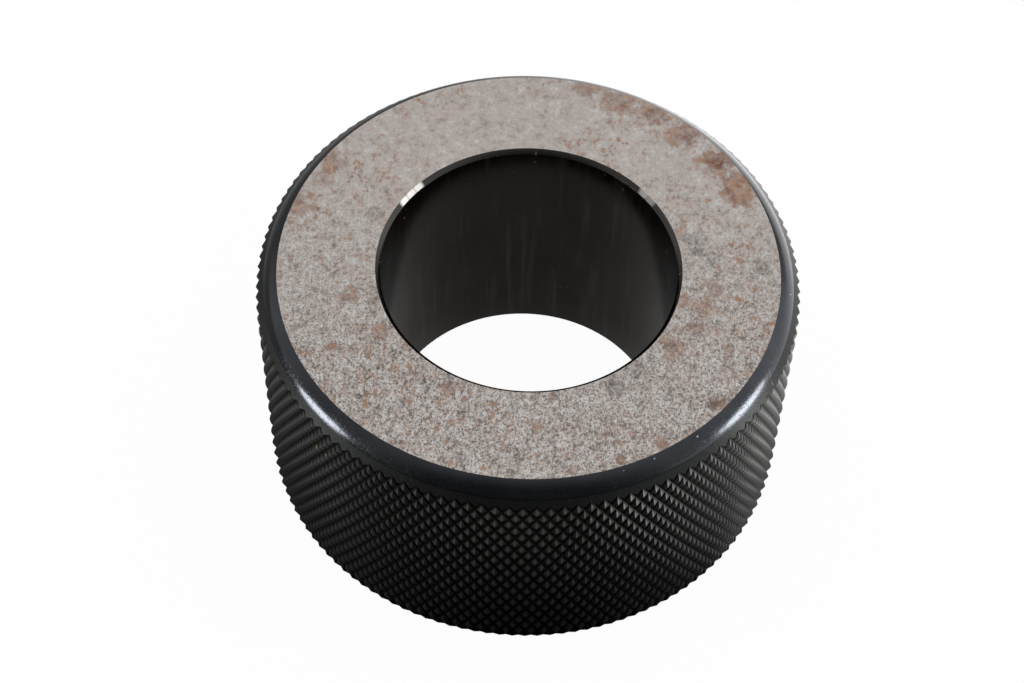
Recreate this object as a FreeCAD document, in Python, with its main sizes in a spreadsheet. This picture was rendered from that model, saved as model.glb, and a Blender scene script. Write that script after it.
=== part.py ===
# Setting ring gauge: one steel ring, turned, knurled round its rim and ground on both faces.
# Millimetres. The origin is the centre of the lower face, on the bore's axis, and +Z points up.
import FreeCAD, Part
import math
import os
import Sketcher
from FreeCAD import Vector

doc = FreeCAD.newDocument("setting_ring_gauge")

# Driving sizes: alias, value, what it measures.
SIZES = [
    ("outer_diameter", 63.5, "over the tips of the knurl"),
    ("thickness", 33.34, "from face to face"),
    ("bore_diameter", 34.5, "the ground gauging bore"),
    ("bore_chamfer", 0.5, "45 degree chamfer at each end of the bore"),
    ("crown_radius", 1.1, "round next to the flat face"),
    ("side_radius", 2.2, "larger round that follows it down the side of the raised face"),
    ("round_join", 45.0, "degrees turned by the first round before the second one starts"),
    ("bevel_width", 0.9, "smooth bevel from the foot of the raised face to the knurl, along the radius"),
    ("bevel_angle", 35.0, "degrees between the bevel and the face"),
    ("knurl_rise", 0.3, "height of the knurl's tips over the outer edge of the bevel"),
    ("knurl_depth", 0.55, "from the tips of the diamonds to the bottom of the grooves"),
    ("knurl_angle", 30.0, "degrees between the grooves and the axis"),
    ("knurl_count", 88, "diamonds in one row round the ring"),
    ("notch_lip", 0.05, "how far the first diamonds start inside the edge of the bevel"),
    ("knurl_bed", 1.0, "depth of solid steel under the grooves that carries the knurl"),
]

sizes = doc.addObject("Spreadsheet::Sheet", "sizes")
for row, (alias, value, meaning) in enumerate(SIZES, start=1):
    sizes.set(f"A{row}", alias)
    sizes.set(f"B{row}", str(value))
    sizes.set(f"C{row}", meaning)
    sizes.setAlias(f"B{row}", alias)
doc.recompute()


def size(alias):
    """The value of one cell of the sheet."""
    return float(sizes.get(alias))


def angle(alias):
    """The value of one cell of the sheet that holds degrees, in radians."""
    return math.radians(size(alias))


def rim_radii():
    """Radii worked out from the outside inwards: edge of the bevel, foot of the raised face, flat face."""
    bevel_edge = size("outer_diameter") / 2 - size("knurl_rise")
    foot = bevel_edge - size("bevel_width")
    crown_reach = size("crown_radius") * math.sin(angle("round_join"))
    side_reach = size("side_radius") * (1 - math.sin(angle("round_join")))
    return bevel_edge, foot, foot - crown_reach - side_reach


def rim_heights():
    """Depths below a face: where the two rounds meet, the foot of the raised face, the start of the knurl."""
    join = size("crown_radius") * (1 - math.cos(angle("round_join")))
    foot = join + size("side_radius") * math.cos(angle("round_join"))
    return join, foot, foot + size("bevel_width") * math.tan(angle("bevel_angle"))


def root_radius():
    """Radius at the bottom of the knurl's grooves."""
    return size("outer_diameter") / 2 - size("knurl_depth")


class Profile:
    """A closed half section in a sketch, drawn as a chain of lines and arcs that start where the last one ended."""

    def __init__(self, sketch, start):
        self.sketch = sketch
        self.start = start
        self.here = start
        self.items = []

    def _join(self, item, kind="Coincident"):
        if self.items:
            self.sketch.addConstraint(Sketcher.Constraint(kind, self.items[-1], 2, item, 1))
        self.items.append(item)
        return item

    def line(self, end):
        item = self.sketch.addGeometry(Part.LineSegment(self.here, end), False)
        self.here = end
        return self._join(item)

    def arc(self, centre, end, kind="Coincident"):
        """An arc that runs anticlockwise from here to end, and can be joined with kind Tangent."""
        radius = (end - centre).Length
        first = math.atan2(self.here.y - centre.y, self.here.x - centre.x)
        last = math.atan2(end.y - centre.y, end.x - centre.x)
        circle = Part.Circle(centre, Vector(0, 0, 1), radius)
        item = self.sketch.addGeometry(Part.ArcOfCircle(circle, first, last), False)
        self.here = end
        return self._join(item, kind)

    def close(self):
        item = self.line(self.start)
        self.sketch.addConstraint(Sketcher.Constraint("Coincident", item, 2, self.items[0], 1))
        return item


def bind(sketch, kind, where, value, expression):
    """Add a dimension to the sketch and tie it to the sheet."""
    index = sketch.addConstraint(Sketcher.Constraint(kind, *where, value))
    sketch.setExpression(f"Constraints[{index}]", expression)


def draw_profile(sketch):
    """Half section of the turned blank, from the lower face up, with the upper rim as its mirror image."""
    bevel_edge, foot_radius, face_radius = rim_radii()
    join_height, foot_height, knurl_start = rim_heights()
    top = size("thickness")
    bore = size("bore_diameter") / 2
    chamfer = size("bore_chamfer")
    waist = root_radius() - size("knurl_bed")
    crown = size("crown_radius")
    side = size("side_radius")
    join_radius = face_radius + crown * math.sin(angle("round_join"))

    def upper(point):
        return Vector(point.x, top - point.y, 0)

    chamfer_foot = Vector(bore + chamfer, 0, 0)
    chamfer_top = Vector(bore, chamfer, 0)
    face_edge = Vector(face_radius, 0, 0)
    join = Vector(join_radius, join_height, 0)
    foot = Vector(foot_radius, foot_height, 0)
    edge = Vector(bevel_edge, knurl_start, 0)
    neck = Vector(waist, knurl_start, 0)
    crown_centre = Vector(face_radius, crown, 0)
    side_centre = Vector(foot_radius - side, foot_height, 0)

    outline = Profile(sketch, chamfer_foot)
    lower_face = outline.line(face_edge)
    lower_crown = outline.arc(crown_centre, join, "Tangent")
    lower_side = outline.arc(side_centre, foot, "Tangent")
    lower_bevel = outline.line(edge)
    lower_shoulder = outline.line(neck)
    waist_line = outline.line(upper(neck))
    upper_shoulder = outline.line(upper(edge))
    upper_bevel = outline.line(upper(foot))
    upper_side = outline.arc(upper(side_centre), upper(join))
    upper_crown = outline.arc(upper(crown_centre), upper(face_edge))
    upper_face = outline.line(upper(chamfer_foot))
    upper_chamfer = outline.line(upper(chamfer_top))
    bore_line = outline.line(chamfer_top)
    lower_chamfer = outline.close()
    middle = sketch.addGeometry(Part.LineSegment(Vector(0, top / 2, 0), Vector(bore, top / 2, 0)), True)

    start, end, centre = 1, 2, 3
    across, upright, origin = -1, -2, 1
    add = sketch.addConstraint
    for item in (lower_face, lower_shoulder, upper_shoulder, middle):
        add(Sketcher.Constraint("Horizontal", item))
    add(Sketcher.Constraint("Vertical", waist_line))
    add(Sketcher.Constraint("PointOnObject", lower_face, start, across))
    add(Sketcher.Constraint("PointOnObject", middle, start, upright))
    add(Sketcher.Constraint("PointOnObject", middle, end, bore_line))
    add(Sketcher.Constraint("Horizontal", lower_side, centre, lower_side, end))
    for low, high in ((lower_face, upper_face), (lower_bevel, upper_bevel)):
        add(Sketcher.Constraint("Symmetric", low, start, high, end, middle))
        add(Sketcher.Constraint("Symmetric", low, end, high, start, middle))
    add(Sketcher.Constraint("Symmetric", lower_side, start, upper_side, end, middle))
    add(Sketcher.Constraint("Symmetric", lower_chamfer, start, upper_chamfer, end, middle))
    add(Sketcher.Constraint("Equal", lower_crown, upper_crown))
    add(Sketcher.Constraint("Equal", lower_side, upper_side))

    bind(sketch, "DistanceY", (across, origin, middle, start), top / 2, "sizes.thickness / 2")
    bind(sketch, "DistanceX", (across, origin, bore_line, end), bore, "sizes.bore_diameter / 2")
    bind(sketch, "DistanceX", (lower_chamfer, start, lower_chamfer, end), chamfer, "sizes.bore_chamfer")
    bind(sketch, "DistanceY", (lower_chamfer, end, lower_chamfer, start), chamfer, "sizes.bore_chamfer")
    bind(sketch, "Radius", (lower_crown,), crown, "sizes.crown_radius")
    bind(sketch, "Radius", (lower_side,), side, "sizes.side_radius")
    bind(sketch, "DistanceX", (lower_side, centre, lower_side, start),
         side * math.sin(angle("round_join")), "sizes.side_radius * sin(sizes.round_join * 1 deg)")
    bind(sketch, "DistanceX", (lower_bevel, start, lower_bevel, end), size("bevel_width"), "sizes.bevel_width")
    bind(sketch, "DistanceY", (lower_bevel, start, lower_bevel, end),
         size("bevel_width") * math.tan(angle("bevel_angle")),
         "sizes.bevel_width * tan(sizes.bevel_angle * 1 deg)")
    bind(sketch, "DistanceX", (across, origin, lower_bevel, end), bevel_edge,
         "sizes.outer_diameter / 2 - sizes.knurl_rise")
    bind(sketch, "DistanceX", (across, origin, lower_shoulder, end), waist,
         "sizes.outer_diameter / 2 - sizes.knurl_depth - sizes.knurl_bed")


def turned_blank():
    """The ring as it comes off the lathe, with a waist where the knurled band sits."""
    body = doc.addObject("PartDesign::Body", "turned_blank")
    sketch = body.newObject("Sketcher::SketchObject", "half_section")
    planes = {feature.Role: feature for feature in body.Origin.OriginFeatures}
    sketch.AttachmentSupport = [(planes["XZ_Plane"], "")]
    sketch.MapMode = "FlatFace"
    doc.recompute()
    draw_profile(sketch)
    doc.recompute()
    turned = body.newObject("PartDesign::Revolution", "turned")
    turned.Profile = sketch
    turned.ReferenceAxis = (planes["Z_Axis"], [""])
    turned.Angle = 360.0
    body.Tip = turned
    body.Label = "turned_blank"
    return body


def knurl_grid():
    """How many half rows of diamonds fill the band, and the band's lower and upper ends.

    A diamond is as wide as the pitch round the ring and as tall as that pitch over the tangent of the knurl
    angle. Each row sits half a diamond above the one below it.
    """
    low = rim_heights()[2]
    high = size("thickness") - low
    pitch = math.pi * size("outer_diameter") / size("knurl_count")
    half_height = pitch / math.tan(angle("knurl_angle")) / 2
    return max(2, round((high - low) / half_height)), low, high


def knurl_points(count, rows, low, high):
    """Corners of all diamonds, row by row: a groove crossing and a diamond's tip take turns round each row.

    In an even row the crossings stand at whole pitches and the tips between them, and in an odd row the other
    way round, so the four neighbours of every tip are crossings.
    """
    tip_radius = size("outer_diameter") / 2
    end_radius = rim_radii()[0] - size("notch_lip")
    points = []
    for row in range(rows + 1):
        height = low + (high - low) * row / rows
        at_end = row in (0, rows)
        for step in range(2 * count):
            is_tip = (step + row) % 2 == 1
            radius = root_radius()
            if is_tip:
                radius = end_radius if at_end else tip_radius
            turn = math.pi * step / count
            points.append(Vector(radius * math.cos(turn), radius * math.sin(turn), height))
    return points


def knurl_facets(count, rows):
    """Four triangles for each diamond, and two for the half diamonds of the first and last row."""
    around = 2 * count
    facets = []
    for row in range(rows + 1):
        for step in range(around):
            if (step + row) % 2 == 0:
                continue
            tip = row * around + step
            left = row * around + (step - 1) % around
            right = row * around + (step + 1) % around
            if row < rows:
                above = tip + around
                facets.append((left, tip, above))
                facets.append((tip, right, above))
            if row > 0:
                below = tip - around
                facets.append((left, below, tip))
                facets.append((below, right, tip))
    return facets


def knurl_band():
    """The knurled band as a sleeve of pyramids, whose bore lies inside the blank's waist."""
    count = int(size("knurl_count"))
    rows, low, high = knurl_grid()
    points = knurl_points(count, rows, low, high)
    around = 2 * count
    skin = Part.Shape()
    skin.makeShapeFromMesh((points, knurl_facets(count, rows)), 0.001, False)
    ends = []
    for ring in (points[:around], points[-around:]):
        ends.append(Part.Face(Part.makePolygon(ring + ring[:1])))
    knurled_bar = Part.Solid(Part.Shell(skin.Faces + ends))
    core = Part.makeCylinder(root_radius() - 2 * size("knurl_bed"), high - low, Vector(0, 0, low))
    band = doc.addObject("Part::Feature", "knurl_band")
    band.Shape = knurled_bar.cut(core)
    band.Label = "knurl_band"
    return band


def gauge_ring():
    """The finished ring: the blank and its knurl are one piece of steel."""
    ring = doc.addObject("Part::Fuse", "gauge_ring")
    ring.Base = turned_blank()
    ring.Tool = knurl_band()
    ring.Refine = False
    ring.Label = "gauge_ring"
    ring.Placement = FreeCAD.Placement(Vector(0, 0, 0), FreeCAD.Rotation())
    return ring


def check(parts):
    """Stop if any object failed, or a part is not one valid solid."""
    for thing in doc.Objects:
        if "Invalid" in thing.State or "Error" in thing.State:
            raise RuntimeError(f"{thing.Name} did not build: {thing.State}")
    for part in parts:
        if part.Shape.isNull() or not part.Shape.isValid() or len(part.Shape.Solids) != 1:
            raise RuntimeError(f"{part.Label} is not one valid solid")


parts = [gauge_ring()]
doc.recompute()
check(parts)

os.makedirs("parts", exist_ok=True)
for part in parts:
    part.Shape.exportStep(f"parts/{part.Label}.step")
    print(f"{part.Label}: {part.Shape.Volume:.0f} mm3, {knurl_grid()[0]} half rows of knurl")
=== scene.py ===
"""Looks of a setting ring gauge: a thick steel ring with ground faces, a black knurl and a honed bore.

Metres, +Z up. The origin is the centre of the lower face, on the axis of the bore.
"""

import logging
import math
from dataclasses import dataclass, field
from enum import IntEnum
from typing import Any

import bpy
import numpy as np
from mathutils import Matrix, Quaternion, Vector

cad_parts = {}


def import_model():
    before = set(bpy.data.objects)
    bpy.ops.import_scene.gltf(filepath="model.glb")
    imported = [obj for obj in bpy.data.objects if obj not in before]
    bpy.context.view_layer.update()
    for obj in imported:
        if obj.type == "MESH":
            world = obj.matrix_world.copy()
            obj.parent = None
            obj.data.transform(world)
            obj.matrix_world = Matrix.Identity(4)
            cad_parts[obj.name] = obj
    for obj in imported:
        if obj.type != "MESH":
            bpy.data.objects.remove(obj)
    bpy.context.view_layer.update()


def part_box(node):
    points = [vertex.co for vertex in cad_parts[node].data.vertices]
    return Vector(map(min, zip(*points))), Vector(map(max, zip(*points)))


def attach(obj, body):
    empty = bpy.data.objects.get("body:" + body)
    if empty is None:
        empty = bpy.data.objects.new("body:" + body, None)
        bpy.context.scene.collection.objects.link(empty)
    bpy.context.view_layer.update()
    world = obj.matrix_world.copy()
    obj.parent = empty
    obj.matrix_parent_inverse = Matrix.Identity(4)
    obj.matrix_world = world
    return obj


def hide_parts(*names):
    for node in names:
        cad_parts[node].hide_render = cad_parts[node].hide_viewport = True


log = logging.getLogger("setting_ring_gauge")

CREST = "knurl_crest"
IMAGE_WIDTH = 1024
SENSOR_WIDTH = 36.0
MM = 0.001

Colour = tuple[float, float, float]
Place = tuple[float, float, float]
Socket = bpy.types.NodeSocket


class Finish(IntEnum):
    """Finish of each band of the ring, in the order of its material slots."""

    GROUND = 0
    RIM = 1
    KNURL = 2
    BORE = 3


def rounded_corner(
    before: np.ndarray, corner: np.ndarray, after: np.ndarray, radius: float, steps: int
) -> np.ndarray:
    """Points of the arc that rounds a corner of a flat outline.

    The arc touches both sides at radius / tan(half the corner's angle) from the corner, and its centre lies
    on the bisector at radius / sin(half the angle). Each point is the centre plus the radius times a
    direction turned evenly from the first touching point to the last.

    Args:
        before: A point on the side that arrives at the corner.
        corner: The sharp corner.
        after: A point on the side that leaves it.
        radius: Radius of the round.
        steps: Number of straight runs along the arc.

    Returns:
        Array of (steps + 1, 2) points.
    """
    back = (before - corner) / np.linalg.norm(before - corner)
    ahead = (after - corner) / np.linalg.norm(after - corner)
    half = math.acos(float(np.clip(back @ ahead, -1.0, 1.0))) / 2
    bisector = (back + ahead) / np.linalg.norm(back + ahead)
    centre = corner + bisector * radius / math.sin(half)
    first = corner + back * radius / math.tan(half) - centre
    last = corner + ahead * radius / math.tan(half) - centre
    start = math.atan2(first[1], first[0])
    turn = math.atan2(first[0] * last[1] - first[1] * last[0], float(first @ last))
    angle = start + turn * np.linspace(0.0, 1.0, steps + 1)
    return centre + radius * np.stack([np.cos(angle), np.sin(angle)], axis=1)


@dataclass(frozen=True)
class RimSection:
    """Turned section between the knurl and a flat face, with heights measured down from that face.

    The ground face cuts a domed edge, so the dome starts at a slant. It is one round down to its foot, where
    the bevel to the knurl begins. A tilt is the angle between the surface and the face.
    """

    face_radius: float = 29.128 * MM
    foot_radius: float = 30.80 * MM
    foot_depth: float = 1.70 * MM
    start_tilt: float = math.radians(30.0)
    bevel_angle: float = math.radians(46.0)
    crease_radius: float = 0.14 * MM
    arc_steps: int = 14

    def bevel_depth(self, radius: float) -> float:
        """Depth of the bevel at a radius: the foot's depth plus the run times the bevel's slope."""
        return self.foot_depth + (radius - self.foot_radius) * math.tan(self.bevel_angle)

    def dome(self, steps: int) -> np.ndarray:
        """Section of the dome, from the edge of the face to the foot.

        The chord of an arc leans by the mean of its two end tilts, which gives the tilt at the foot. The
        radius is the chord over twice the sine of half the turn. A point reaches out by the radius times the
        difference of the sines of its tilt and the first, and falls by that of the cosines.

        Args:
            steps: Number of straight runs along the arc.

        Returns:
            Array of (steps + 1, 2): radius and height.
        """
        reach = self.foot_radius - self.face_radius
        half_turn = math.atan2(self.foot_depth, reach) - self.start_tilt
        radius = math.hypot(reach, self.foot_depth) / (2 * math.sin(half_turn))
        tilt = self.start_tilt + 2 * half_turn * np.linspace(0.0, 1.0, steps + 1)
        out = self.face_radius + radius * (np.sin(tilt) - math.sin(self.start_tilt))
        return np.stack([out, radius * (np.cos(tilt) - math.cos(self.start_tilt))], axis=1)

    def outline(self, start_radius: float) -> np.ndarray:
        """Outline from the bottom of the knurl's grooves inwards to the edge of the flat face.

        It runs up the straight bevel, through a small concave round at the crease, then over the dome.

        Args:
            start_radius: Radius on the bevel where the grooves end.

        Returns:
            Array of (n, 2): radius, and height over the face, which is negative.
        """
        start = np.array([start_radius, -self.bevel_depth(start_radius)])
        foot = np.array([self.foot_radius, -self.foot_depth])
        dome = self.dome(self.arc_steps)
        crease = rounded_corner(start, foot, dome[-2], self.crease_radius, 4)
        bevel = start + (crease[0] - start) * np.array([[0.0], [0.5]])
        return np.concatenate([bevel, crease, dome[-2::-1]])


@dataclass(frozen=True)
class BoreSection:
    """The ground gauging bore, with a small chamfer at each end whose edges are barely broken."""

    radius: float = 17.25 * MM
    chamfer: float = 0.5 * MM
    edge_break: float = 0.06 * MM
    wall_steps: int = 6

    def mouth(self) -> np.ndarray:
        """Outline of one end of the bore, from the flat face over the chamfer to the wall.

        Returns:
            Array of (n, 2): radius, and height over the face.
        """
        face_edge = np.array([self.radius + self.chamfer, 0.0])
        wall_edge = np.array([self.radius, -self.chamfer])
        outward = np.array([1.0, 0.0])
        upper = rounded_corner(face_edge + outward, face_edge, wall_edge, self.edge_break, 2)
        lower = rounded_corner(
            face_edge, wall_edge, wall_edge - np.array([0.0, 1.0]), self.edge_break, 2
        )
        return np.concatenate([upper, lower])


@dataclass(frozen=True)
class KnurlBand:
    """A diamond knurl: two families of V grooves that lean to either side of the axis.

    With u the share of a diamond's width round the ring and w the height in half rows, the grooves lie where
    u + w / 2 and u - w / 2 are whole numbers. The metal rises evenly from the nearer groove.
    """

    tip_radius: float = 31.75 * MM
    root_radius: float = 31.31 * MM
    sharp_height: float = 0.49 * MM
    blunt_from: float = 0.8
    columns: int = 132
    half_rows: int = 22
    steps: tuple[float, ...] = (0.0, 0.4, 0.5, 0.6)

    @property
    def per_side(self) -> int:
        """Number of runs along the side of a diamond."""
        return len(self.steps)

    @property
    def per_turn(self) -> int:
        """Number of points in each row round the ring."""
        return self.columns * self.per_side

    @property
    def rows(self) -> int:
        """Number of rows of points from the lower edge of the band to its upper edge, less one."""
        return self.half_rows * self.per_side

    def lattice(self, index: np.ndarray) -> np.ndarray:
        """Lattice coordinate of a point number along one family: whole diamonds plus the step's share."""
        return index // self.per_side + np.array(self.steps)[index % self.per_side]

    def rise(self, first: np.ndarray, second: np.ndarray) -> np.ndarray:
        """Height over the bottom of the grooves.

        Args:
            first: Lattice coordinate across one family of grooves.
            second: Lattice coordinate across the other family.

        Returns:
            The sharp height times the nearer groove's share, bent over to the tip's height past blunt_from.
        """
        across = [1 - np.abs(2 * (value - np.floor(value)) - 1) for value in (first, second)]
        nearer = np.minimum(*across)
        knees = (0.0, self.blunt_from, 1.0)
        heights = (0.0, self.sharp_height * self.blunt_from, self.tip_radius - self.root_radius)
        return np.interp(nearer, knees, heights)

    def surface(self, low: float, high: float) -> tuple[np.ndarray, np.ndarray]:
        """Points of the band, as rows that are staggered like the lattice.

        Point t of row v has lattice numbers A = t + (v + v % 2) / 2 and B = A - v. The angle is the mean of
        the two lattice coordinates times the pitch, and the height is their difference in half rows.

        Args:
            low: Height of the lower edge.
            high: Height of the upper edge.

        Returns:
            Points of shape (rows + 1, per_turn, 3), and the share of the full height at each of them.
        """
        row = np.arange(self.rows + 1)[:, None]
        number = np.arange(self.per_turn)[None, :]
        upper = number + (row + row % 2) // 2
        lower = upper - row
        first, second = self.lattice(upper), self.lattice(lower)
        rise = self.rise(first, second)
        rise[[0, -1]] = 0.0
        angle = (first + second) * math.pi / self.columns
        height = low + (first - second) * (high - low) / self.half_rows
        radius = self.root_radius + rise
        points = np.stack([radius * np.cos(angle), radius * np.sin(angle), height], axis=-1)
        return points, rise / (self.tip_radius - self.root_radius)

    def diamonds(self) -> np.ndarray:
        """Triangles of every whole diamond, and of the halves that face the band's edges.

        Each small cell of the lattice is cut along the diagonal that follows the diamond's ridges.

        Returns:
            Array of (n, 3) point numbers, anticlockwise from outside.
        """
        side, turn = self.per_side, self.per_turn
        row, number = np.meshgrid(np.arange(self.rows + 1), np.arange(turn), indexing="ij")
        upper = number + (row + row % 2) // 2
        lower = upper - row
        diamond_row = upper // side - lower // side
        inner = (diamond_row > 0) & (diamond_row < self.half_rows)
        level = ((upper % side < side // 2) == (lower % side < side // 2)) & inner
        upright = ~level & inner

        def point(row_shift: int, number_shift: int | np.ndarray) -> np.ndarray:
            """Number of the point so many rows up and so many places round the ring."""
            return (row + row_shift) * turn + (number + number_shift) % turn

        left, right = point(0, 0), point(0, 1)
        top, bottom = point(1, row % 2), point(-1, row % 2)
        corners = [
            (level, (left, right, top)),
            (level, (left, bottom, right)),
            (upright, (left, bottom, top)),
            (upright, (bottom, right, top)),
        ]
        return np.concatenate([np.stack([c[mask] for c in three], axis=1) for mask, three in corners])

    def cut_ends(self, upper_edge: bool, first_new: int) -> tuple[np.ndarray, np.ndarray]:
        """Triangles of the half diamonds that the bevel cuts off at one edge of the band.

        Each has one new point, where its ridge meets the bevel. The bevel's share is a fan from that point to
        the edge of the band, and the two flanks are fans from it to the grooves.

        Args:
            upper_edge: True for the edge next to the upper face.
            first_new: Number of the first new point.

        Returns:
            Triangles on the bevel and triangles on the flanks, as arrays of (n, 3).
        """
        side, turn = self.per_side, self.per_turn
        edge, inward = (self.rows, -1) if upper_edge else (0, 1)
        start = np.arange(self.columns)[:, None] * side
        step = np.arange(side + 1)[None, :]
        base = edge * turn + (start + step) % turn
        left = (edge + inward * step) * turn + (start + step // 2) % turn
        away = side - step
        right = (edge + inward * away) * turn + (start + (side + step) // 2) % turn
        ridge = np.broadcast_to(first_new + np.arange(self.columns)[:, None], (self.columns, side))

        def fan(first: np.ndarray, second: np.ndarray) -> np.ndarray:
            """Triangles from each pair of neighbours to the new point of their diamond."""
            three = np.stack([first, second, ridge], axis=-1).reshape(-1, 3)
            return three[:, ::-1] if upper_edge else three

        bevel = fan(base[:, :-1], base[:, 1:])
        flanks = np.concatenate([fan(left[:, 1:], left[:, :-1]), fan(right[:, 1:], right[:, :-1])])
        return bevel, flanks

    def cut_points(self, rim: RimSection, low: float, high: float, upper_edge: bool) -> np.ndarray:
        """Points where the ridges of the cut half diamonds meet the bevel.

        Over a half row the bevel rises from the groove's bottom by the half row's height over its slope, and
        the ridge falls by the sharp height. The blunt tip falls more slowly from the tip's height. The bevel
        meets whichever of the two comes first.

        Args:
            rim: The turned section next to the band.
            low: Height of the lower edge.
            high: Height of the upper edge.
            upper_edge: True for the edge next to the upper face.

        Returns:
            Array of (columns, 3).
        """
        half_row = (high - low) / self.half_rows
        bevel_rise = half_row / math.tan(rim.bevel_angle)
        full_height = self.tip_radius - self.root_radius
        blunt_fall = (full_height - self.sharp_height * self.blunt_from) / (1 - self.blunt_from)
        on_ridge = self.sharp_height / (self.sharp_height + bevel_rise)
        on_tip = full_height / (bevel_rise + blunt_fall)
        share = min(on_ridge, on_tip)
        radius = self.root_radius + bevel_rise * share
        height = high - share * half_row if upper_edge else low + share * half_row
        angle = (np.arange(self.columns) + 0.5) * 2 * math.pi / self.columns
        return np.stack(
            [radius * np.cos(angle), radius * np.sin(angle), np.full(self.columns, height)], axis=1
        )


@dataclass
class GaugeRing:
    """The whole ring as one closed skin, from the knurl over both rims and faces and through the bore."""

    thickness: float
    rim: RimSection = field(default_factory=RimSection)
    knurl: KnurlBand = field(default_factory=KnurlBand)
    bore: BoreSection = field(default_factory=BoreSection)
    crisp_angle: float = math.radians(15.0)
    ridge_angle: float = math.radians(25.0)
    face_guard: float = 0.25 * MM

    def turned_outline(self) -> tuple[np.ndarray, list[Finish]]:
        """Outline of everything but the knurl, from its upper edge over the top, down the bore and back.

        Returns:
            Array of (n, 2), radius and height, and the finish between each point and the next.
        """
        rim = self.rim.outline(self.knurl.root_radius)
        mouth = self.bore.mouth()
        guard = np.array([[rim[-1][0] - self.face_guard, 0.0]])
        middle = np.linspace(rim[-1][0], mouth[0][0], 5)[1:-1]
        inner_guard = np.array([[mouth[0][0] + self.face_guard, 0.0]])
        face = np.concatenate([guard, np.stack([middle, 0 * middle], axis=1), inner_guard])
        upper = np.concatenate([rim, face, mouth])
        upper_finish = (
            [Finish.RIM] * (len(rim) - 1) + [Finish.GROUND] * (len(face) + 1) + [Finish.BORE] * len(mouth)
        )
        lower = upper[::-1] * np.array([1.0, -1.0])
        upper = upper + np.array([0.0, self.thickness])
        share = np.linspace(0.0, 1.0, self.bore.wall_steps + 1)[1:-1, None]
        wall = upper[-1] + (lower[0] - upper[-1]) * share
        finish = upper_finish + [Finish.BORE] * len(wall) + upper_finish[:-1][::-1]
        return np.concatenate([upper, wall, lower]), finish

    def turned_faces(self, rings: np.ndarray) -> np.ndarray:
        """Quads between neighbouring rings of points.

        Args:
            rings: Point numbers of shape (rings, per_turn), from the knurl's upper edge to its lower one.

        Returns:
            Array of (n, 4), anticlockwise from outside, ring by ring.
        """
        ahead = np.roll(rings, -1, axis=1)
        quads = np.stack([rings[:-1], ahead[:-1], ahead[1:], rings[1:]], axis=-1)
        return quads.reshape(-1, 4)

    def mark_edges(self, mesh: bpy.types.Mesh) -> None:
        """Makes the edges crisp where two faces meet at more than the crisp angle.

        Inside the knurl the grooves and the ridges are crisp, and the blunt tips blend into their flanks.

        Args:
            mesh: The closed mesh, in which every edge has two faces.
        """
        edge_of = np.empty(len(mesh.loops), dtype=np.int32)
        mesh.loops.foreach_get("edge_index", edge_of)
        corners = np.empty(len(mesh.polygons), dtype=np.int32)
        mesh.polygons.foreach_get("loop_total", corners)
        finish = np.empty(len(mesh.polygons), dtype=np.int32)
        mesh.polygons.foreach_get("material_index", finish)
        normal = np.empty(len(mesh.polygons) * 3, dtype=np.float32)
        mesh.polygons.foreach_get("normal", normal)
        face_of = np.repeat(np.arange(len(mesh.polygons)), corners)
        pairs = face_of[np.argsort(edge_of, kind="stable")].reshape(-1, 2)
        both = normal.reshape(-1, 3)[pairs]
        cosine = np.sum(both[:, 0] * both[:, 1], axis=1)
        knurled = np.all(finish[pairs] == Finish.KNURL, axis=1)
        limit = np.where(knurled, math.cos(self.ridge_angle), math.cos(self.crisp_angle))
        mesh.attributes.new("sharp_edge", "BOOLEAN", "EDGE").data.foreach_set("value", cosine < limit)

    def build(self) -> bpy.types.Object:
        """Works out the points and faces of the ring and puts them into one mesh.

        Returns:
            The new object, at the origin, with its material slots still empty.
        """
        knurl, turn = self.knurl, self.knurl.per_turn
        edge_depth = self.rim.bevel_depth(knurl.root_radius)
        low, high = edge_depth, self.thickness - edge_depth
        band, share = knurl.surface(low, high)
        outline, finish = self.turned_outline()
        direction = band[0, :, :2] / knurl.root_radius
        turned = np.empty((len(outline) - 2, turn, 3))
        turned[..., :2] = outline[1:-1, None, :1] * direction[None]
        turned[..., 2] = outline[1:-1, None, 1]
        cuts = [knurl.cut_points(self.rim, low, high, upper) for upper in (False, True)]
        first_cut = band.shape[0] * turn + turned.shape[0] * turn
        points = np.concatenate([band.reshape(-1, 3), turned.reshape(-1, 3), *cuts])
        crest = np.zeros(len(points))
        crest[: share.size] = share.ravel()

        inner = band.shape[0] * turn + np.arange(turned.shape[0] * turn).reshape(-1, turn)
        ends = np.arange(turn)
        rings = np.concatenate([[knurl.rows * turn + ends], inner, [ends]])
        quads = self.turned_faces(rings)
        lower_bevel, lower_flanks = knurl.cut_ends(False, first_cut)
        upper_bevel, upper_flanks = knurl.cut_ends(True, first_cut + knurl.columns)
        triangles = [
            (Finish.KNURL, knurl.diamonds()),
            (Finish.KNURL, lower_flanks),
            (Finish.KNURL, upper_flanks),
            (Finish.RIM, lower_bevel),
            (Finish.RIM, upper_bevel),
        ]
        threes = np.concatenate([faces for _, faces in triangles])
        material = np.concatenate(
            [np.full(len(faces), int(kind)) for kind, faces in triangles]
            + [np.repeat(np.array([int(kind) for kind in finish]), turn)]
        )

        used = np.zeros(len(points), dtype=bool)
        used[threes] = True
        used[quads] = True
        renumber = np.cumsum(used) - 1
        faces = renumber[threes].tolist() + renumber[quads].tolist()
        mesh = bpy.data.meshes.new("knurled_ring")
        mesh.from_pydata(points[used].tolist(), [], faces)
        mesh.polygons.foreach_set("material_index", material.astype(np.int32))
        mesh.polygons.foreach_set("use_smooth", np.ones(len(faces), dtype=bool))
        mesh.attributes.new(CREST, "FLOAT", "POINT").data.foreach_set(
            "value", crest[used].astype(np.float32)
        )
        mesh.update()
        self.mark_edges(mesh)
        ring = bpy.data.objects.new("knurled_ring", mesh)
        bpy.context.scene.collection.objects.link(ring)
        return ring


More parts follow.
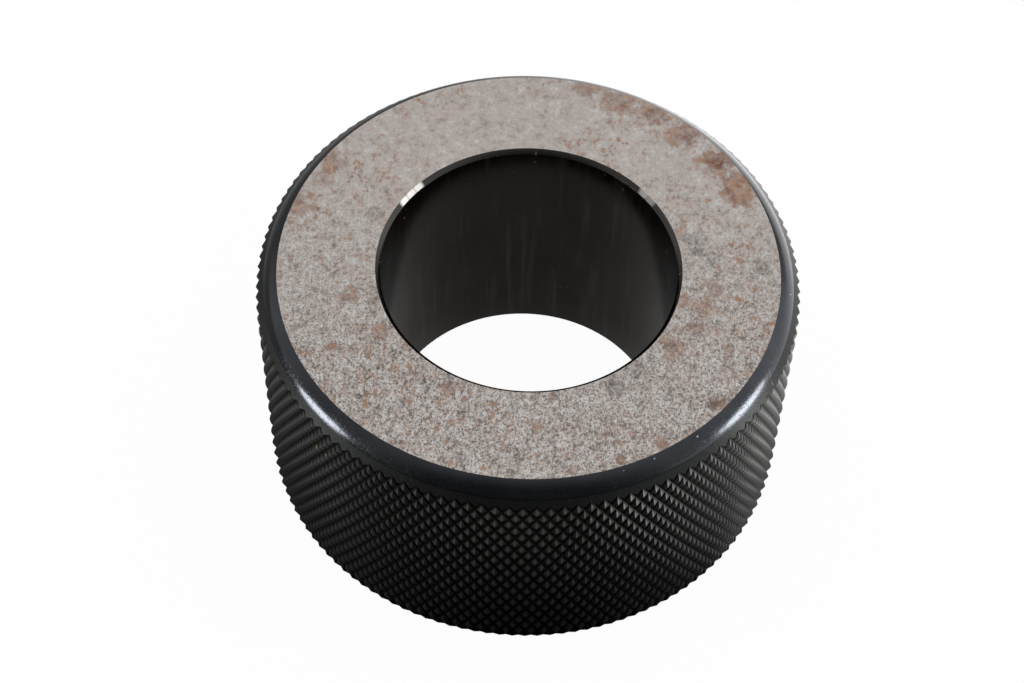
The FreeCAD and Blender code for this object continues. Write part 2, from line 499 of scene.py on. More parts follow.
class NodeBoard:
    """Adds nodes to one node tree and joins them."""

    def __init__(self, tree: bpy.types.NodeTree) -> None:
        """Keeps the tree that the nodes go into."""
        self.tree = tree

    def add(self, kind: str, inputs: dict[Any, Any] | None = None, **settings: Any) -> bpy.types.Node:
        """Adds one node.

        Args:
            kind: Type name of the node, without its ShaderNode prefix.
            inputs: Value or output socket for each input, by name or number.
            **settings: Properties of the node.

        Returns:
            The new node.
        """
        node = self.tree.nodes.new("ShaderNode" + kind)
        for name, value in settings.items():
            setattr(node, name, value)
        self.feed(node, inputs or {})
        return node

    def feed(self, node: bpy.types.Node, inputs: dict[Any, Any]) -> None:
        """Links or sets several inputs of a node, by name or number."""
        for name, value in inputs.items():
            self.plug(node.inputs[name], value)

    def plug(self, socket: Socket, value: Any) -> None:
        """Links an output to the socket, or sets the socket's own value."""
        if isinstance(value, bpy.types.NodeSocket):
            self.tree.links.new(value, socket)
        elif isinstance(value, tuple) and len(value) == 3 and socket.type == "RGBA":
            socket.default_value = (*value, 1.0)
        else:
            socket.default_value = value

    def place(self) -> Socket:
        """Adds the place on the object, in metres."""
        return self.add("TexCoord").outputs["Object"]

    def math(self, operation: str, *values: Any) -> Socket:
        """Adds a Math node and returns its value."""
        return self.add("Math", dict(enumerate(values)), operation=operation).outputs[0]

    def times(self, first: Any, second: Any) -> Socket:
        """Multiplies two values."""
        return self.math("MULTIPLY", first, second)

    def vector(self, operation: str, *values: Any, output: str = "Vector") -> Socket:
        """Adds a Vector Math node and returns one of its outputs."""
        return self.add("VectorMath", dict(enumerate(values)), operation=operation).outputs[output]

    def axis_distance(self, place: Any) -> Socket:
        """Distance of a place from the ring's axis."""
        return self.vector("LENGTH", self.vector("MULTIPLY", place, (1.0, 1.0, 0.0)), output="Value")

    def noise(self, place: Any, scale: Any, detail: Any, roughness: Any) -> Socket:
        """Adds a noise texture and returns its factor."""
        inputs = {"Vector": place, "Scale": scale, "Detail": detail, "Roughness": roughness}
        return self.add("TexNoise", inputs, noise_dimensions="3D").outputs["Fac"]

    def ramp(self, value: Any, low: Any, high: Any, bottom: float = 0.0, top: float = 1.0) -> Socket:
        """Maps a value from low..high to bottom..top with a soft start and end."""
        inputs = {"Value": value, "From Min": low, "From Max": high, "To Min": bottom, "To Max": top}
        return self.add("MapRange", inputs, interpolation_type="SMOOTHSTEP").outputs["Result"]

    def blend(self, share: Any, first: Any, second: Any) -> Socket:
        """Mixes two colours by a share."""
        return self.add("Mix", {0: share, 6: first, 7: second}, data_type="RGBA").outputs[2]

    def bump(self, height: Any, strength: float, distance: float) -> Socket:
        """Adds a Bump node and returns its normal."""
        inputs = {"Height": height, "Strength": strength, "Distance": distance}
        return self.add("Bump", inputs).outputs["Normal"]

    def mask(self, tree: bpy.types.NodeTree, inputs: dict[str, Any]) -> Socket:
        """Places a node group with its own values and returns its mask."""
        node = self.tree.nodes.new("ShaderNodeGroup")
        node.node_tree = tree
        self.feed(node, inputs)
        return node.outputs["Mask"]


def new_group(name: str, inputs: dict[str, tuple[str, Any]]) -> tuple[NodeBoard, Any, Socket]:
    """Starts a shader node group that puts out one mask.

    Args:
        name: Name of the group.
        inputs: Kind (Float or Vector) and first value of each input.

    Returns:
        The board of the new tree, the given values by name, and the socket that takes the mask.
    """
    tree = bpy.data.node_groups.new(name, "ShaderNodeTree")
    for label, (kind, value) in inputs.items():
        socket = tree.interface.new_socket(label, in_out="INPUT", socket_type="NodeSocket" + kind)
        socket.default_value = value
    tree.interface.new_socket("Mask", in_out="OUTPUT", socket_type="NodeSocketFloat")
    given = tree.nodes.new("NodeGroupInput")
    result = tree.nodes.new("NodeGroupOutput")
    return NodeBoard(tree), given.outputs, result.inputs["Mask"]


class Patterns:
    """Node groups that more than one finish uses."""

    zero: Place = (0.0, 0.0, 0.0)

    def __init__(self) -> None:
        """Builds each group once."""
        self.speckle = self._speckle()
        self.patch = self._patch()
        self.line = self._line()

    def _speckle(self) -> bpy.types.NodeTree:
        """Grains of one size: noise cut softly at a level, so that a high level leaves few grains."""
        inputs = {
            "Vector": ("Vector", self.zero),
            "Scale": ("Float", 2000.0),
            "Level": ("Float", 0.55),
            "Softness": ("Float", 0.05),
            "Detail": ("Float", 2.0),
            "Roughness": ("Float", 0.5),
        }
        board, given, mask = new_group("speckle", inputs)
        noise = board.noise(given["Vector"], given["Scale"], given["Detail"], given["Roughness"])
        low = board.math("SUBTRACT", given["Level"], given["Softness"])
        high = board.math("ADD", given["Level"], given["Softness"])
        board.plug(mask, board.ramp(noise, low, high))
        return board.tree

    def _patch(self) -> bpy.types.NodeTree:
        """A ragged spot: the distance from its centre over its reach, pushed in and out by a given noise."""
        inputs = {
            "Vector": ("Vector", self.zero),
            "Centre": ("Vector", self.zero),
            "Reach": ("Float", 0.002),
            "Noise": ("Float", 0.5),
            "Raggedness": ("Float", 1.0),
        }
        board, given, mask = new_group("patch", inputs)
        apart = board.vector("DISTANCE", given["Vector"], given["Centre"], output="Value")
        share = board.math("DIVIDE", apart, given["Reach"])
        push = board.times(board.math("SUBTRACT", given["Noise"], 0.5), given["Raggedness"])
        board.plug(mask, board.ramp(board.math("ADD", share, push), 1.1, 0.45))
        return board.tree

    def _line(self) -> bpy.types.NodeTree:
        """A thin scratch: near a straight line, and no further along it than its half length."""
        inputs = {
            "Vector": ("Vector", self.zero),
            "Centre": ("Vector", self.zero),
            "Along": ("Vector", (1.0, 0.0, 0.0)),
            "Half Length": ("Float", 0.002),
            "Half Width": ("Float", 0.0001),
        }
        board, given, mask = new_group("scratch_line", inputs)
        apart = board.vector("SUBTRACT", given["Vector"], given["Centre"])
        along = board.vector("DOT_PRODUCT", apart, given["Along"], output="Value")
        across = board.vector("CROSS_PRODUCT", apart, given["Along"])
        away = board.vector("LENGTH", across, output="Value")
        share = board.math("DIVIDE", board.math("ABSOLUTE", along), given["Half Length"])
        side = board.ramp(board.math("DIVIDE", away, given["Half Width"]), 1.0, 0.2)
        board.plug(mask, board.times(board.ramp(share, 1.0, 0.7), side))
        return board.tree


@dataclass(frozen=True)
class Grains:
    """Grains of one size: the scale of their noise, and the level and softness at which it is cut."""

    scale: float
    level: float
    softness: float
    detail: float = 2.0
    roughness: float = 0.5

    def mask(self, board: NodeBoard, patterns: Patterns, place: Socket) -> Socket:
        """Adds the grains to a material.

        Args:
            board: Board of the material.
            patterns: Shared node groups.
            place: Place on the object.

        Returns:
            Socket with the mask.
        """
        inputs = {
            "Vector": place,
            "Scale": self.scale,
            "Level": self.level,
            "Softness": self.softness,
            "Detail": self.detail,
            "Roughness": self.roughness,
        }
        return board.mask(patterns.speckle, inputs)


@dataclass(frozen=True)
class Spot:
    """A round mark, such as a stain, a nick or a painted glint: its place and reach in millimetres, its
    strength, and its depth under the upper face.
    """

    x: float
    y: float
    reach: float
    strength: float = 1.0
    depth: float = 0.0

    def centre(self, face_height: float) -> Place:
        """Place of the spot in metres."""
        return (self.x * MM, self.y * MM, face_height - self.depth * MM)


@dataclass(frozen=True)
class Scratch:
    """A straight scratch: its ends as x, y and depth, its half width in millimetres, and its strength."""

    start: Place
    end: Place
    half_width: float = 0.09
    strength: float = 0.7

    def mask(self, board: NodeBoard, patterns: Patterns, face_height: float) -> Socket:
        """Adds the scratch to a material.

        Args:
            board: Board of the material.
            patterns: Shared node groups.
            face_height: Height of the upper face.

        Returns:
            Socket with the mask, before the scratch's strength.
        """
        first, last = (
            Vector((x * MM, y * MM, face_height - depth * MM)) for x, y, depth in (self.start, self.end)
        )
        inputs = {
            "Vector": board.place(),
            "Centre": tuple((first + last) / 2),
            "Along": tuple((last - first).normalized()),
            "Half Length": (last - first).length / 2,
            "Half Width": self.half_width * MM,
        }
        return board.mask(patterns.line, inputs)


def joined_spots(
    board: NodeBoard,
    patterns: Patterns,
    noise: Any,
    raggedness: float,
    spots: tuple[Spot, ...],
    face_height: float,
) -> Socket:
    """Joins several spots into one mask, each point taking the strongest.

    Args:
        board: Board of the material.
        patterns: Shared node groups.
        noise: Noise that frays the edges.
        raggedness: How far it frays them, as a share of the reach.
        spots: The spots.
        face_height: Height of the upper face.

    Returns:
        Socket with the joined mask.
    """
    place = board.place()
    joined: Any = 0.0
    for spot in spots:
        inputs = {
            "Vector": place,
            "Centre": spot.centre(face_height),
            "Reach": spot.reach * MM,
            "Noise": noise,
            "Raggedness": raggedness,
        }
        mask = board.mask(patterns.patch, inputs)
        joined = board.math("MAXIMUM", joined, board.times(mask, spot.strength))
    return joined


def new_material(name: str) -> tuple[bpy.types.Material, NodeBoard, bpy.types.Node]:
    """Starts a material.

    Args:
        name: Name of the material.

    Returns:
        The material, the board of its tree and its Principled BSDF.
    """
    material = bpy.data.materials.new(name)
    material.use_nodes = True
    board = NodeBoard(material.node_tree)
    shader = next(node for node in material.node_tree.nodes if node.type == "BSDF_PRINCIPLED")
    return material, board, shader


@dataclass(frozen=True)
class GroundSteel:
    """The flat faces: pale ground steel under a fine brown-grey corrosion, with rust and dark stains."""

    face_height: float
    bright: Colour = (0.60, 0.585, 0.57)
    middle: Colour = (0.490, 0.443, 0.414)
    brown: Colour = (0.095, 0.072, 0.058)
    fleck: Colour = (0.34, 0.185, 0.105)
    rust: Colour = (0.14, 0.050, 0.024)
    stain: Colour = (0.075, 0.075, 0.078)
    pit: Colour = (0.050, 0.040, 0.034)
    fine: Grains = Grains(4300.0, 0.56, 0.08, 2.0, 0.75)
    pits: Grains = Grains(3000.0, 0.64, 0.05, 2.0, 0.6)
    flecks: Grains = Grains(1000.0, 0.60, 0.08, 4.0, 0.75)
    grain_stretch: Place = (1.15, 0.85, 1.0)
    mottled_until: float = -18.0 * MM
    calm_from: float = 20.0 * MM
    rust_spots: tuple[Spot, ...] = (
        Spot(6.3, 27.6, 2.2, 0.75),
        Spot(10.6, 26.0, 2.8, 0.7),
        Spot(14.6, 24.0, 2.8, 0.7),
        Spot(18.6, 20.6, 2.6, 0.8),
        Spot(22.4, 16.4, 2.5, 1.0),
        Spot(24.4, 13.2, 2.6, 1.0),
        Spot(24.8, 11.0, 1.8, 0.9),
        Spot(-24.0, 15.2, 2.6, 0.5),
        Spot(-24.6, 12.5, 1.8, 0.5),
        Spot(-27.6, 8.2, 2.2, 0.7),
        Spot(21.6, -2.5, 1.6, 0.55),
        Spot(20.5, -5.4, 1.6, 0.55),
        Spot(18.3, -4.2, 1.3, 0.5),
        Spot(19.2, -8.4, 1.3, 0.5),
        Spot(16.4, -10.9, 1.8, 0.55),
        Spot(-16.6, -10.4, 1.4, 0.6),
        Spot(-20.6, -5.4, 1.1, 0.6),
        Spot(-22.1, -12.3, 0.8, 0.9),
        Spot(-8.8, -17.5, 1.3, 0.5),
        Spot(10.4, -26.2, 1.0, 0.8),
        Spot(15.1, -24.2, 1.0, 0.8),
        Spot(21.2, -18.5, 1.0, 0.9),
    )
    dark_spots: tuple[Spot, ...] = (
        Spot(18.0, 4.9, 1.2, 0.8),
        Spot(19.6, 3.6, 1.5, 0.9),
        Spot(21.4, 2.3, 1.1, 0.7),
        Spot(27.1, 0.6, 1.2, 0.75),
        Spot(12.6, -14.6, 1.2, 0.8),
        Spot(9.7, -17.0, 1.3, 0.7),
        Spot(16.0, -17.0, 0.8, 0.7),
        Spot(-18.1, 6.9, 1.2, 0.6),
        Spot(-8.7, -16.0, 0.8, 0.7),
        Spot(-17.9, -5.8, 0.8, 0.6),
        Spot(-13.7, -19.6, 0.7, 0.7),
        Spot(20.8, -18.7, 0.8, 0.9),
        Spot(22.5, -18.1, 0.7, 0.9),
    )
    scratches: tuple[Scratch, ...] = (
        Scratch((-24.6, -0.2, 0.0), (-21.7, -2.5, 0.0)),
        Scratch((-21.3, 0.4, 0.0), (-23.8, -2.1, 0.0)),
        Scratch((7.9, -20.0, 0.0), (9.0, -22.3, 0.0), 0.12, 0.6),
    )

    def build(self, patterns: Patterns) -> bpy.types.Material:
        """Builds the material.

        Args:
            patterns: Shared node groups.

        Returns:
            The material of both flat faces.
        """
        material, board, shader = new_material("ground_steel")
        place = board.place()
        stretched = board.vector("MULTIPLY", place, self.grain_stretch)
        broad = board.noise(place, 110.0, 3.0, 0.55)
        ragged = board.noise(place, 620.0, 4.0, 0.65)
        mottle = board.noise(stretched, 2300.0, 4.0, 0.75)
        coarse = board.noise(place, 820.0, 5.0, 0.7)
        backwards = board.add("SeparateXYZ", {"Vector": place}).outputs["Y"]
        calm = board.ramp(backwards, self.mottled_until, self.calm_from, 1.0, 0.2)
        where = board.ramp(broad, 0.38, 0.62)
        swell = board.math("MULTIPLY_ADD", board.math("SUBTRACT", coarse, 0.5), 0.55, 0.5)
        cover_level = board.math("MULTIPLY_ADD", board.math("SUBTRACT", mottle, 0.5), calm, swell)
        light = board.ramp(cover_level, 0.50, 0.38)
        dark = board.ramp(cover_level, 0.51, 0.66)
        fine = board.times(self.fine.mask(board, patterns, stretched), calm)
        pits = board.times(self.pits.mask(board, patterns, stretched), calm)
        colour = board.blend(light, self.middle, self.bright)
        dirt = board.times(dark, board.math("MULTIPLY_ADD", where, 0.4, 0.5))
        colour = board.blend(dirt, colour, self.brown)
        colour = board.blend(board.times(fine, 0.8), colour, self.brown)
        colour = board.blend(board.times(pits, 0.65), colour, self.pit)
        orange = self.flecks.mask(board, patterns, stretched)
        flecks = board.times(orange, board.math("MULTIPLY_ADD", where, 0.6, 0.4))
        colour = board.blend(flecks, colour, self.fleck)
        broken = board.ramp(mottle, 0.40, 0.60, 0.3, 1.0)
        solid = board.ramp(coarse, 0.40, 0.60, 0.7, 1.0)
        rust = joined_spots(board, patterns, ragged, 3.2, self.rust_spots, self.face_height)
        rust_share = board.times(rust, board.times(solid, 0.95))
        rusty = board.blend(board.ramp(ragged, 0.36, 0.58), self.fleck, self.rust)
        colour = board.blend(rust_share, colour, rusty)
        stains = joined_spots(board, patterns, ragged, 3.2, self.dark_spots, self.face_height)
        stain_share = board.times(stains, board.times(broken, 0.8))
        colour = board.blend(stain_share, colour, self.stain)
        for scratch in self.scratches:
            line = scratch.mask(board, patterns, self.face_height)
            colour = board.blend(board.times(line, board.times(broken, scratch.strength)), colour, self.brown)
        cover = board.math("MAXIMUM", board.math("MAXIMUM", rust_share, stain_share), dirt)
        look = {
            "Base Color": colour,
            "Roughness": board.ramp(cover, 0.0, 0.8, 0.5, 0.78),
            "Metallic": board.ramp(cover, 0.1, 0.7, 0.45, 0.0),
            "Normal": board.bump(board.times(dirt, -1.0), 0.25, 0.00004),
        }
        board.feed(shader, look)
        return material


@dataclass(frozen=True)
class BlackOxide:
    """The turned rims: glossy blue-black oxide on the dome, a duller bevel beyond the crease, and painted
    shade along the crease.
    """

    face_height: float
    crease_radius: float
    deep: Colour = (0.0375, 0.0400, 0.0450)
    worn: Colour = (0.0440, 0.0468, 0.0525)
    dull: Colour = (0.0290, 0.0305, 0.0300)
    # Colour of the dark stains, and of the painted shade along the crease at the dome's foot.
    dirt: Colour = (0.0100, 0.0090, 0.0080)
    bare: Colour = (0.42, 0.40, 0.37)
    # Reach of the painted shade on each side of the crease.
    crease_shade_reach: float = 0.11 * MM
    pits: Grains = Grains(4200.0, 0.60, 0.05)
    nicks: tuple[Spot, ...] = (
        Spot(18.98, -22.77, 0.13, 0.9, 0.35),
        Spot(14.20, -25.87, 0.11, 0.8, 0.25),
        Spot(10.84, -27.52, 0.08, 0.6, 0.29),
        Spot(30.26, -2.33, 0.12, 0.8, 1.04),
    )
    dark_spots: tuple[Spot, ...] = (Spot(24.38, -18.24, 0.12, 0.8, 1.05),)
    scratches: tuple[Scratch, ...] = (Scratch((27.26, -12.99, 0.86), (27.93, -14.50, 2.41), 0.07, 0.25),)

    def build(self, patterns: Patterns) -> bpy.types.Material:
        """Builds the material.

        Args:
            patterns: Shared node groups.

        Returns:
            The material of the rims and bevels.
        """
        material, board, shader = new_material("black_oxide")
        place = board.place()
        past_crease = board.math("SUBTRACT", board.axis_distance(place), self.crease_radius)
        bevel = board.ramp(past_crease, 0.0, 0.5 * self.crease_shade_reach)
        # Painted shade: a mask that is strongest on the concave crease at the dome's foot and fades within
        # the reach.
        crease = board.ramp(board.math("ABSOLUTE", past_crease), self.crease_shade_reach, 0.0)
        cloud = board.noise(place, 260.0, 4.0, 0.6)
        fine = board.noise(place, 5200.0, 2.0, 0.6)
        pits = self.pits.mask(board, patterns, place)
        colour = board.blend(board.ramp(cloud, 0.38, 0.66), self.deep, self.worn)
        colour = board.blend(bevel, colour, self.dull)
        # Darkens the crease to half the dark colour: painted shade.
        colour = board.blend(board.times(crease, 0.5), colour, self.dirt)
        dark = joined_spots(board, patterns, cloud, 0.5, self.dark_spots, self.face_height)
        colour = board.blend(dark, colour, self.dirt)
        nicks = joined_spots(board, patterns, cloud, 0.5, self.nicks, self.face_height)
        for scratch in self.scratches:
            line = scratch.mask(board, patterns, self.face_height)
            nicks = board.math("MAXIMUM", nicks, board.times(line, scratch.strength))
        satin = board.math("MULTIPLY_ADD", pits, 0.18, board.ramp(cloud, 0.3, 0.7, 0.14, 0.20))
        look = {
            "Base Color": board.blend(nicks, colour, self.bare),
            "Roughness": board.math("MULTIPLY_ADD", bevel, 0.10, satin),
            "Metallic": board.math("SUBTRACT", 1.0, nicks),
            "Normal": board.bump(fine, 0.16, 0.00002),
        }
        board.feed(shader, look)
        return material


@dataclass(frozen=True)
class BlackKnurl:
    """The knurl: black oxide that is rubbed to a dull shine on the tips, and darker in colour towards the
    bottom of the grooves.
    """

    face_height: float
    groove: Colour = (0.0140, 0.0115, 0.0080)
    flank: Colour = (0.135, 0.136, 0.132)
    tip: Colour = (0.200, 0.202, 0.198)
    rust: Colour = (0.48, 0.30, 0.09)
    rust_spots: tuple[Spot, ...] = (
        Spot(-23.65, -21.12, 0.36, 0.9, 7.05),
        Spot(-22.42, -22.45, 0.30, 0.8, 6.80),
        Spot(-5.04, -31.33, 0.36, 0.9, 8.27),
    )

    def build(self, patterns: Patterns) -> bpy.types.Material:
        """Builds the material.

        Args:
            patterns: Shared node groups.

        Returns:
            The material of the knurled band.
        """
        material, board, shader = new_material("black_knurl")
        place = board.place()
        crest = board.add("Attribute", attribute_name=CREST).outputs["Fac"]
        cloud = board.noise(place, 420.0, 3.0, 0.6)
        fine = board.noise(place, 3400.0, 2.0, 0.6)
        # The colour goes from the dark groove colour at the bottom of the grooves to the flank colour higher
        # up.
        groove_to_flank = board.times(board.ramp(crest, 0.14, 0.46), board.ramp(cloud, 0.3, 0.7, 0.8, 1.0))
        colour = board.blend(groove_to_flank, self.groove, self.flank)
        colour = board.blend(board.ramp(crest, 0.35, 0.9), colour, self.tip)
        rust = joined_spots(board, patterns, cloud, 1.2, self.rust_spots, self.face_height)
        look = {
            "Base Color": board.blend(rust, colour, self.rust),
            "Metallic": board.math("SUBTRACT", 1.0, rust),
            "Roughness": board.ramp(fine, 0.3, 0.7, 0.20, 0.28),
            "Specular IOR Level": 0.1,
            "Normal": board.bump(fine, 0.12, 0.00003),
        }
        board.feed(shader, look)
        return material


@dataclass(frozen=True)
class HonedBore:
    """The gauging bore: dark polished steel with faint streaks along it, and pale patches on the chamfer that
    are painted glints.
    """

    wall_radius: float
    face_height: float
    wall: Colour = (0.056, 0.048, 0.041)
    shade: Colour = (0.046, 0.039, 0.033)
    streak: Colour = (0.110, 0.098, 0.090)
    chamfer: Colour = (0.045, 0.044, 0.042)
    # Pale steel of the painted glints on the chamfer.
    bare: Colour = (0.75, 0.73, 0.70)
    rust: Colour = (0.14, 0.07, 0.04)
    specks: Grains = Grains(1300.0, 0.73, 0.04)
    streak_stretch: Place = (1.0, 1.0, 0.08)
    chamfer_edge: tuple[float, float] = (0.02 * MM, 0.06 * MM)
    # Painted glints on the chamfer, where it mirrors the lamps: their places, reach, strength and depth.
    chamfer_glint_spots: tuple[Spot, ...] = (
        Spot(-14.80, 9.30, 0.9, 1.0, 0.2),
        Spot(-14.10, 10.40, 1.0, 1.0, 0.2),
        Spot(-13.30, 11.40, 0.9, 1.0, 0.2),
        Spot(13.40, 11.40, 0.9, 0.5, 0.1),
        Spot(14.20, 10.40, 0.9, 0.35, 0.1),
    )

    def build(self, patterns: Patterns) -> bpy.types.Material:
        """Builds the material.

        Args:
            patterns: Shared node groups.

        Returns:
            The material of the bore and its chamfers.
        """
        material, board, shader = new_material("honed_bore")
        place = board.place()
        lengthwise = board.vector("MULTIPLY", place, self.streak_stretch)
        streaks = board.noise(lengthwise, 700.0, 4.0, 0.6)
        cloud = board.noise(place, 140.0, 3.0, 0.55)
        specks = self.specks.mask(board, patterns, place)
        past_wall = board.math("SUBTRACT", board.axis_distance(place), self.wall_radius)
        colour = board.blend(board.ramp(cloud, 0.35, 0.65), self.wall, self.shade)
        colour = board.blend(board.ramp(streaks, 0.48, 0.72, 0.0, 0.6), colour, self.streak)
        chamfer = board.ramp(past_wall, *self.chamfer_edge)
        # Painted glints: pale patches on the chamfer only.
        bare = joined_spots(board, patterns, cloud, 0.3, self.chamfer_glint_spots, self.face_height)
        bare = board.times(bare, chamfer)
        colour = board.blend(chamfer, colour, board.blend(bare, self.chamfer, self.bare))
        polish = board.ramp(streaks, 0.3, 0.7, 0.16, 0.26)
        look = {
            "Base Color": board.blend(board.times(specks, 0.7), colour, self.rust),
            "Roughness": board.math("MULTIPLY_ADD", specks, 0.35, polish),
            "Metallic": board.ramp(specks, 0.0, 1.0, 1.0, 0.1),
            "Normal": board.bump(streaks, 0.05, 0.00003),
        }
        board.feed(shader, look)
        return material


@dataclass(frozen=True)
class Softbox:
    """An oval lamp that points at the ring, rolled about its own axis."""

    name: str
    position: Place
    roll: float
    target: Place = (0.0, 0.0, 0.0335)
    width: float = 0.088
    height: float = 0.052
    power: float = 0.226

    def build(self) -> None:
        """Makes the lamp, hidden from the camera, and turns it to its target."""
        lamp = bpy.data.lights.new(self.name, "AREA")
        lamp.shape = "ELLIPSE"
        lamp.size, lamp.size_y = self.width, self.height
        lamp.energy = self.power
        holder = bpy.data.objects.new(self.name, lamp)
        holder.location = self.position
        way = Vector(self.target) - Vector(self.position)
        turn = way.to_track_quat("-Z", "Y") @ Quaternion((0.0, 0.0, 1.0), self.roll)
        holder.rotation_euler = turn.to_euler()
        holder.visible_camera = False
        bpy.context.scene.collection.objects.link(holder)


@dataclass(frozen=True)
class Studio:
    """The white floor, two oval lamps beside the ring, and a light tent that is open towards the camera."""

    hole_radius: float
    ring_radius: float
    floor_half: float = 3.0
    floor_tone: float = 0.82
    floor_lift: float = 0.97
    mirrored_front: float = 0.03
    mirrored_side: float = 0.30
    mirrored_right: float = 1.9
    mirrored_hole: float = 0.22
    front_light: float = 0.15
    side_light: float = 0.80
    back_light: float = 1.48
    far_light: float = 0.45
    right_share: float = 0.28
    softboxes: tuple[Softbox, ...] = (
        Softbox("left_lamp", (-0.2098, -0.0662, 0.0335), math.radians(24.0)),
        Softbox("right_lamp", (0.2164, -0.0397, 0.0335), math.radians(-23.0)),
    )

    def mirrored_floor(self, board: NodeBoard) -> Socket:
        """Brightness of the floor as the metal mirrors it: dark in front of the ring and right next to it.

        With x and y the parts of the direction from the ring's axis, the brightness is a soft step in y from
        the front's to the side's, and one more towards the right. It fades next to the ring, and is even in
        the hole.

        Args:
            board: Board of the floor's material.

        Returns:
            Socket with the brightness.
        """
        place = board.place()
        radius = board.axis_distance(place)
        way = board.add("SeparateXYZ", {"Vector": board.vector("NORMALIZE", place)}).outputs
        level = board.ramp(way["Y"], -1.0, -0.78, self.mirrored_front, self.mirrored_side)
        extra = board.ramp(way["Y"], -0.72, -0.52, 0.0, self.mirrored_right - self.mirrored_side)
        right = board.times(extra, board.ramp(way["X"], -0.3, 0.5))
        shade = board.ramp(radius, self.ring_radius, 2.6 * self.ring_radius, 0.1, 1.0)
        around = board.times(board.math("ADD", level, right), shade)
        hole = board.math("LESS_THAN", radius, self.hole_radius)
        return board.math("MAXIMUM", around, board.times(hole, self.mirrored_hole))

    def floor(self) -> None:
        """Makes the floor, which looks white to the camera and can be looked through from below."""
        half = self.floor_half
        corners = [(-half, -half, 0.0), (half, -half, 0.0), (half, half, 0.0), (-half, half, 0.0)]
        mesh = bpy.data.meshes.new("floor")
        mesh.from_pydata(corners, [], [(0, 1, 2, 3)])
        floor = bpy.data.objects.new("floor", mesh)
        bpy.context.scene.collection.objects.link(floor)
        material = bpy.data.materials.new("white_floor")
        material.use_nodes = True
        board = NodeBoard(material.node_tree)
        board.tree.nodes.clear()
        path = board.add("LightPath").outputs
        seen = board.math("MAXIMUM", path["Is Camera Ray"], path["Is Transmission Ray"])
        seen = board.math("MAXIMUM", seen, path["Is Glossy Ray"])
        dimming = board.math("SUBTRACT", self.mirrored_floor(board), 1.0)
        brightness = board.math("MULTIPLY_ADD", path["Is Glossy Ray"], dimming, 1.0)
        matt = board.add("BsdfDiffuse", {"Color": (self.floor_tone,) * 3})
        white = board.add("Emission", {"Color": (1.0, 1.0, 1.0), "Strength": brightness})
        lift = board.times(seen, self.floor_lift)
        top = board.add("MixShader", {0: lift, 1: matt.outputs[0], 2: white.outputs[0]})
        clear = board.add("BsdfTransparent")
        behind = board.add("NewGeometry").outputs["Backfacing"]
        both = board.add("MixShader", {0: behind, 1: top.outputs[0], 2: clear.outputs[0]})
        board.add("OutputMaterial", {"Surface": both.outputs[0]})
        mesh.materials.append(material)

    def tent(self) -> bpy.types.World:
        """Makes the world: light that fades towards the front and the far back, and is stronger on the right.

        With x and y the parts of a direction to the right and to the back, the strength is a soft step in y
        from the front's light to the sides', another to the back's and one down to the far back's, times 1
        plus the right's share of x.

        Returns:
            The new world.
        """
        world = bpy.data.worlds.new("light_tent")
        world.use_nodes = True
        board = NodeBoard(world.node_tree)
        way = board.add("SeparateXYZ", {"Vector": board.add("TexCoord").outputs["Generated"]}).outputs
        beside = board.ramp(way["Y"], -0.9, -0.35, self.front_light, self.side_light)
        behind = board.ramp(way["Y"], -0.3, 0.45, 0.0, self.back_light - self.side_light)
        far = board.ramp(way["Y"], 0.35, 0.75, 0.0, self.far_light - self.back_light)
        level = board.math("ADD", board.math("ADD", beside, behind), far)
        side = board.math("MULTIPLY_ADD", way["X"], self.right_share, 1.0)
        background = world.node_tree.nodes["Background"]
        board.feed(background, {"Color": (1.0, 1.0, 1.0), "Strength": board.times(level, side)})
        return world

    def build(self) -> None:
        """Makes the floor, the lamps and the world."""
        self.floor()
        for softbox in self.softboxes:
            softbox.build()
        bpy.context.scene.world = self.tent()


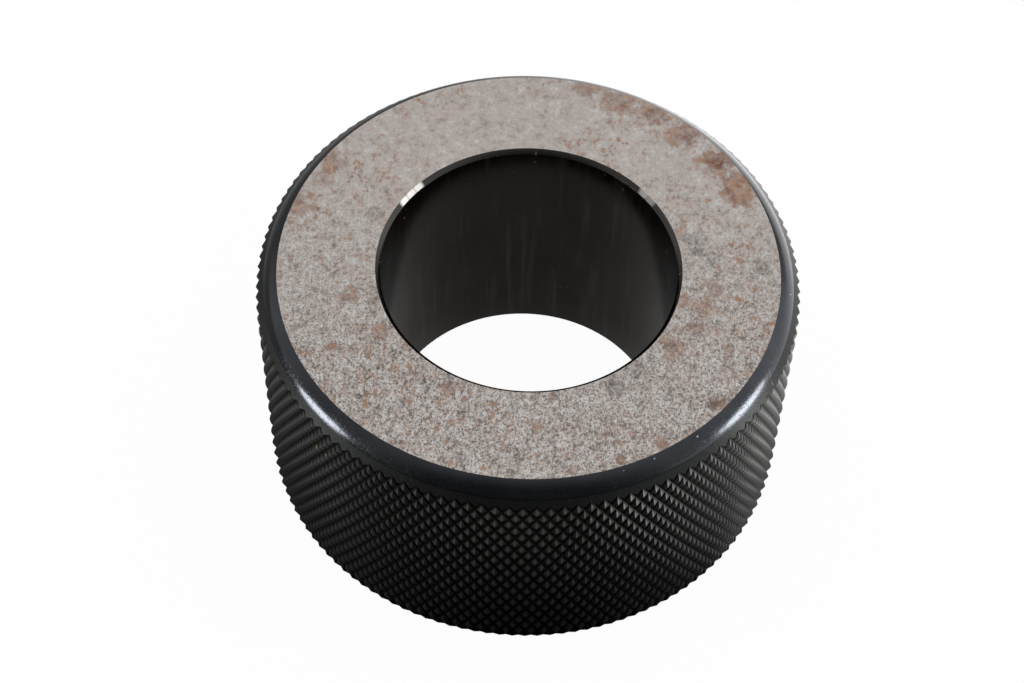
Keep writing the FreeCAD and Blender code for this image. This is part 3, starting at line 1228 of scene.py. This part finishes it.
@dataclass(frozen=True)
class PhotoCamera:
    """The camera at the photograph's viewing angle, aimed near the middle of the upper face.

    The elevation and the roll are in radians.
    """

    elevation: float = 0.94843
    roll: float = 0.027906
    distance: float = 269.16 * MM
    shift_right: float = 1.958 * MM
    shift_up: float = 8.769 * MM
    focal_pixels: float = 2328.0

    def build(self, face_height: float) -> None:
        """Makes the camera and sets it as the scene's own.

        The camera looks along the line from the face's centre at its elevation, rolled about that line, and
        is moved sideways so that the ring sits in the frame as it does in the photograph.

        Args:
            face_height: Height of the upper face.
        """
        back = Vector((0.0, -math.cos(self.elevation), math.sin(self.elevation)))
        right = Vector((1.0, 0.0, 0.0))
        up = back.cross(right)
        rolled_right = right * math.cos(self.roll) + up * math.sin(self.roll)
        rolled_up = up * math.cos(self.roll) - right * math.sin(self.roll)
        centre = Vector((0.0, 0.0, face_height))
        place = centre - rolled_right * self.shift_right - rolled_up * self.shift_up + back * self.distance
        lens = bpy.data.cameras.new("photo_camera")
        lens.sensor_fit = "HORIZONTAL"
        lens.sensor_width = SENSOR_WIDTH
        lens.lens = self.focal_pixels / IMAGE_WIDTH * SENSOR_WIDTH
        lens.clip_start, lens.clip_end = 0.01, 20.0
        camera = bpy.data.objects.new("photo_camera", lens)
        turn = Matrix((rolled_right, rolled_up, back)).transposed().to_4x4()
        camera.matrix_world = Matrix.Translation(place) @ turn
        bpy.context.scene.collection.objects.link(camera)
        bpy.context.scene.camera = camera


def main() -> None:
    """Loads the frame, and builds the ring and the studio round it."""
    logging.basicConfig(level=logging.INFO, format="%(name)s: %(message)s")
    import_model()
    lowest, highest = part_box("gauge_ring")
    thickness = highest.z - lowest.z

    gauge = GaugeRing(thickness=thickness)
    ring = gauge.build()
    patterns = Patterns()
    finishes = {
        Finish.GROUND: GroundSteel(face_height=thickness).build(patterns),
        Finish.RIM: BlackOxide(face_height=thickness, crease_radius=gauge.rim.foot_radius).build(patterns),
        Finish.KNURL: BlackKnurl(face_height=thickness).build(patterns),
        Finish.BORE: HonedBore(wall_radius=gauge.bore.radius, face_height=thickness).build(patterns),
    }
    for kind in Finish:
        ring.data.materials.append(finishes[kind])
    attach(ring, "root")
    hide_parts("gauge_ring")
    log.info("%s: %d points, %d faces", ring.name, len(ring.data.vertices), len(ring.data.polygons))

    Studio(hole_radius=gauge.bore.radius, ring_radius=gauge.knurl.tip_radius).build()
    PhotoCamera().build(thickness)
    bpy.context.scene.view_settings.view_transform = "Standard"


if __name__ == "__main__":
    main()
